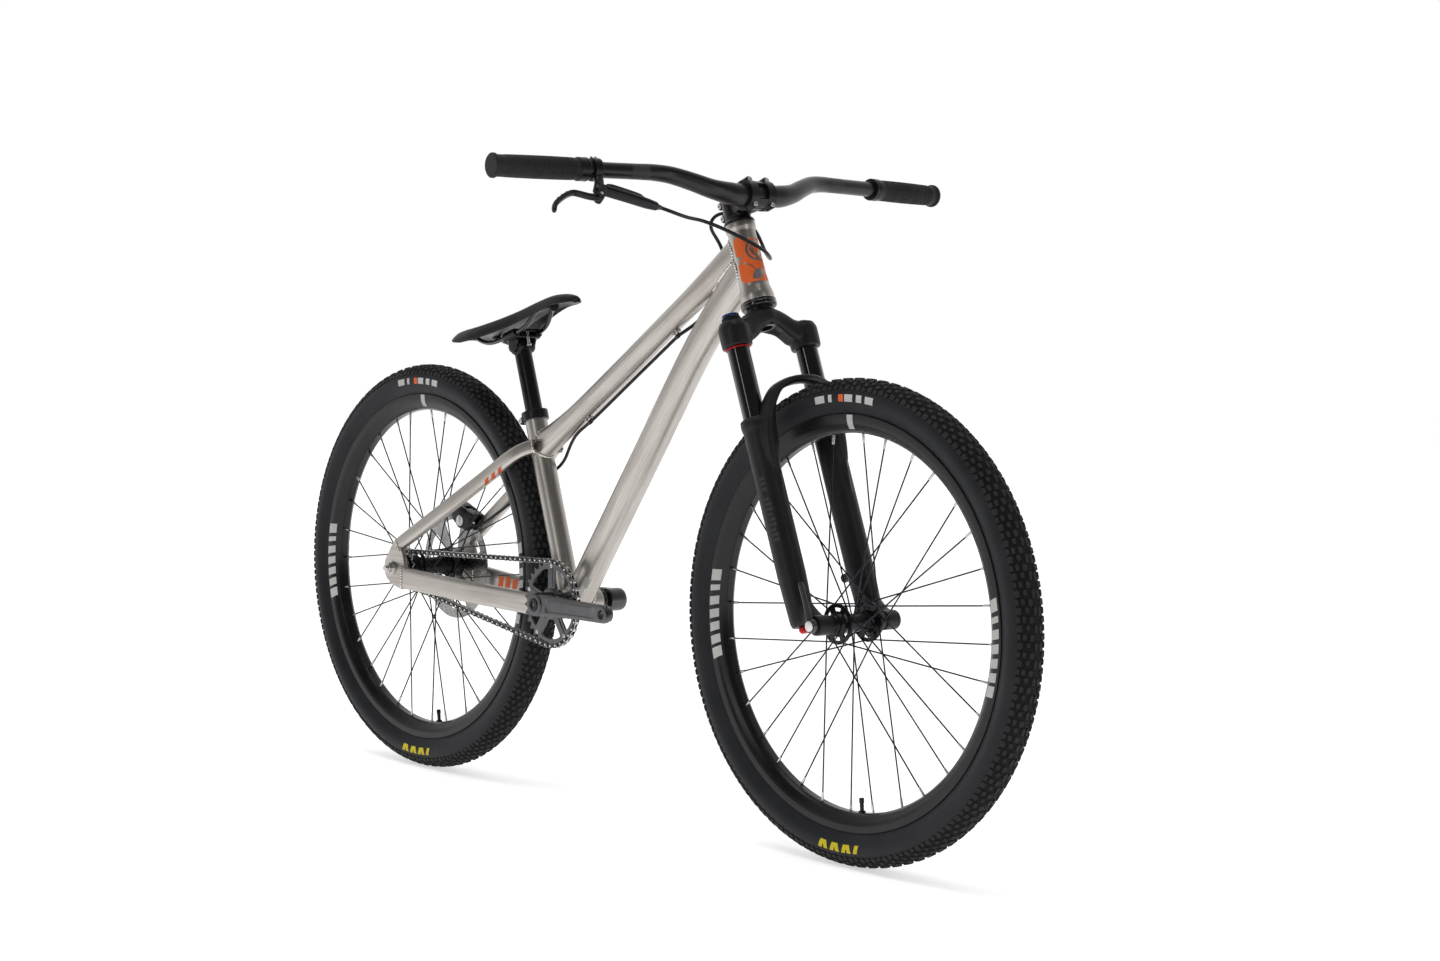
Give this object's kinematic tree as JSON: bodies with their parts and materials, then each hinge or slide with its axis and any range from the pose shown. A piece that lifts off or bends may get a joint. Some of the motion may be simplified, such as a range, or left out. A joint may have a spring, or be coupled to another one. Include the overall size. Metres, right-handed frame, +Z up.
{
  "type": "dirt jump bike",
  "caption": "Hardtail bicycle for jumps: raw metal frame, suspension fork, wide bar, single speed chain drive, disc brake on the rear wheel, low saddle, no pedals.",
  "frame": {"origin": "on the ground, midway between the two tyres' contacts", "axes": "+X forward, +Y to the rider's left, +Z up"},
  "size_m": [1.679, 0.8394, 0.9597],
  "materials": {
    "raw_aluminium": "raw brushed aluminium under clear coat, with visible weld beads",
    "black_anodised": "black anodised aluminium",
    "satin_black": "satin black paint",
    "gloss_black": "black hard coating, polished",
    "black_rubber": "matt black rubber",
    "tyre": "black tyre rubber",
    "grey_anodised": "dark grey anodised aluminium",
    "steel": "plain steel",
    "dark_steel": "dark steel",
    "red_anodised": "red anodised aluminium",
    "saddle_cover": "black synthetic leather"
  },
  "bodies": {
    "frame": {"head_tube": "raw_aluminium", "top_tube": "raw_aluminium", "down_tube": "raw_aluminium", "seat_tube": "raw_aluminium", "bottom_bracket_shell": "raw_aluminium", "chainstay_right": "raw_aluminium", "chainstay_left": "raw_aluminium", "seatstay_right": "raw_aluminium", "seatstay_left": "raw_aluminium", "dropout_right": "raw_aluminium", "dropout_left": "raw_aluminium", "seatpost_collar": "black_anodised", "headset_upper_cup": "black_anodised", "headset_lower_cup": "black_anodised", "bottom_bracket_cup_right": "black_anodised", "bottom_bracket_cup_left": "black_anodised", "rear_axle": "steel", "brake_caliper": "black_anodised", "rear_brake_hose": "black_rubber", "chain": "dark_steel"},
    "steering": {"fork_crown": "satin_black", "stanchion_right": "gloss_black", "stanchion_left": "gloss_black", "stem": "black_anodised", "stem_faceplate": "black_anodised", "headset_top_cap": "black_anodised", "handlebar": "black_anodised", "grip_right": "black_rubber", "grip_left": "black_rubber", "grip_collar_right": "black_anodised", "grip_collar_left": "black_anodised", "brake_master_cylinder": "black_anodised", "front_brake_hose": "black_rubber"},
    "lowers": {"fork_lowers": "satin_black", "front_axle": "black_anodised"},
    "front_wheel": {"front_tyre": "tyre", "front_rim": "black_anodised", "front_hub": "black_anodised", "front_spokes_right": "dark_steel", "front_spokes_left": "dark_steel"},
    "rear_wheel": {"rear_tyre": "tyre", "rear_rim": "black_anodised", "rear_hub": "black_anodised", "rear_spokes_right": "dark_steel", "rear_spokes_left": "dark_steel", "brake_rotor": "steel"},
    "freewheel_cog": {"rear_cog": "steel"},
    "crankset": {"crank_arm_right": "grey_anodised", "crank_arm_left": "grey_anodised", "chainring": "grey_anodised"},
    "lever_blade": {"brake_lever": "black_anodised"},
    "pad_inner": {"brake_pad_inner": "dark_steel"},
    "pad_outer": {"brake_pad_outer": "dark_steel"},
    "post": {"seatpost": "black_anodised"},
    "seat": {"saddle_clamp": "black_anodised", "saddle_rails": "steel", "saddle": "saddle_cover"},
    "axle_lever": {"front_axle_lever": "black_anodised"},
    "rebound_dial": {"rebound_knob": "red_anodised"},
    "compression_dial": {"compression_knob": "black_anodised"}
  },
  "joints": [
    {"name": "steering", "type": "hinge", "parent": "frame", "child": "steering", "pos_m": [0.297, 0, 0.769], "axis": [-0.3593, 0, 0.9332], "range_deg": [-75, 75], "deforming": ["front_brake_hose"]},
    {"name": "fork_travel", "type": "slide", "parent": "steering", "child": "lowers", "axis": [-0.3593, 0, 0.9332], "range_m": [0, 0.076], "stiffness_N_per_m": 7000, "springref_m": -0.018},
    {"name": "front_wheel_spin", "type": "hinge", "parent": "lowers", "child": "front_wheel", "pos_m": [0.506, 0, 0.3335], "axis": [0, 1, 0], "continuous": true},
    {"name": "rear_wheel_spin", "type": "hinge", "parent": "frame", "child": "rear_wheel", "pos_m": [-0.506, 0, 0.3335], "axis": [0, 1, 0], "continuous": true},
    {"name": "crank_spin", "type": "hinge", "parent": "frame", "child": "crankset", "pos_m": [-0.108, 0, 0.308], "axis": [0, 1, 0], "continuous": true},
    {"name": "cog_spin", "type": "hinge", "parent": "frame", "child": "freewheel_cog", "pos_m": [-0.506, -0.05, 0.3335], "axis": [0, 1, 0], "continuous": true},
    {"name": "lever_pull", "type": "hinge", "parent": "steering", "child": "lever_blade", "pos_m": [0.27692, -0.27235, 0.90434], "axis": [-0.7408, 0.0801, -0.667], "range_deg": [0, 24], "stiffness_Nm_per_rad": 0.6, "springref_deg": -8.59},
    {"name": "pad_inner_travel", "type": "slide", "parent": "frame", "child": "pad_inner", "axis": [0, 1, 0], "range_m": [0, 0.0003]},
    {"name": "pad_outer_travel", "type": "slide", "parent": "frame", "child": "pad_outer", "axis": [0, -1, 0], "range_m": [0, 0.0003]},
    {"name": "seatpost_height", "type": "slide", "parent": "frame", "child": "post", "axis": [-0.3252, 0, 0.9456], "range_m": [-0.05, 0.02]},
    {"name": "saddle_tilt", "type": "hinge", "parent": "post", "child": "seat", "pos_m": [-0.25911, 0, 0.699], "axis": [0, 1, 0], "range_deg": [-10, 10]},
    {"name": "axle_lever_turn", "type": "hinge", "parent": "lowers", "child": "axle_lever", "pos_m": [0.506, -0.082, 0.3335], "axis": [0, 1, 0], "range_deg": [0, 170]},
    {"name": "rebound_turn", "type": "hinge", "parent": "lowers", "child": "rebound_dial", "pos_m": [0.47483, -0.065, 0.32526], "axis": [-0.3593, 0, 0.9332], "range_deg": [0, 330]},
    {"name": "compression_turn", "type": "hinge", "parent": "steering", "child": "compression_dial", "pos_m": [0.31385, -0.065, 0.74334], "axis": [-0.3593, 0, 0.9332], "range_deg": [0, 90]}
  ],
  "couplings": [
    {"joint": "cog_spin", "follows": "crank_spin", "ratio": 2.4615},
    {"joint": "pad_inner_travel", "follows": "lever_pull", "m_per_rad": 0.0007},
    {"joint": "pad_outer_travel", "follows": "lever_pull", "m_per_rad": 0.0007}
  ]
}
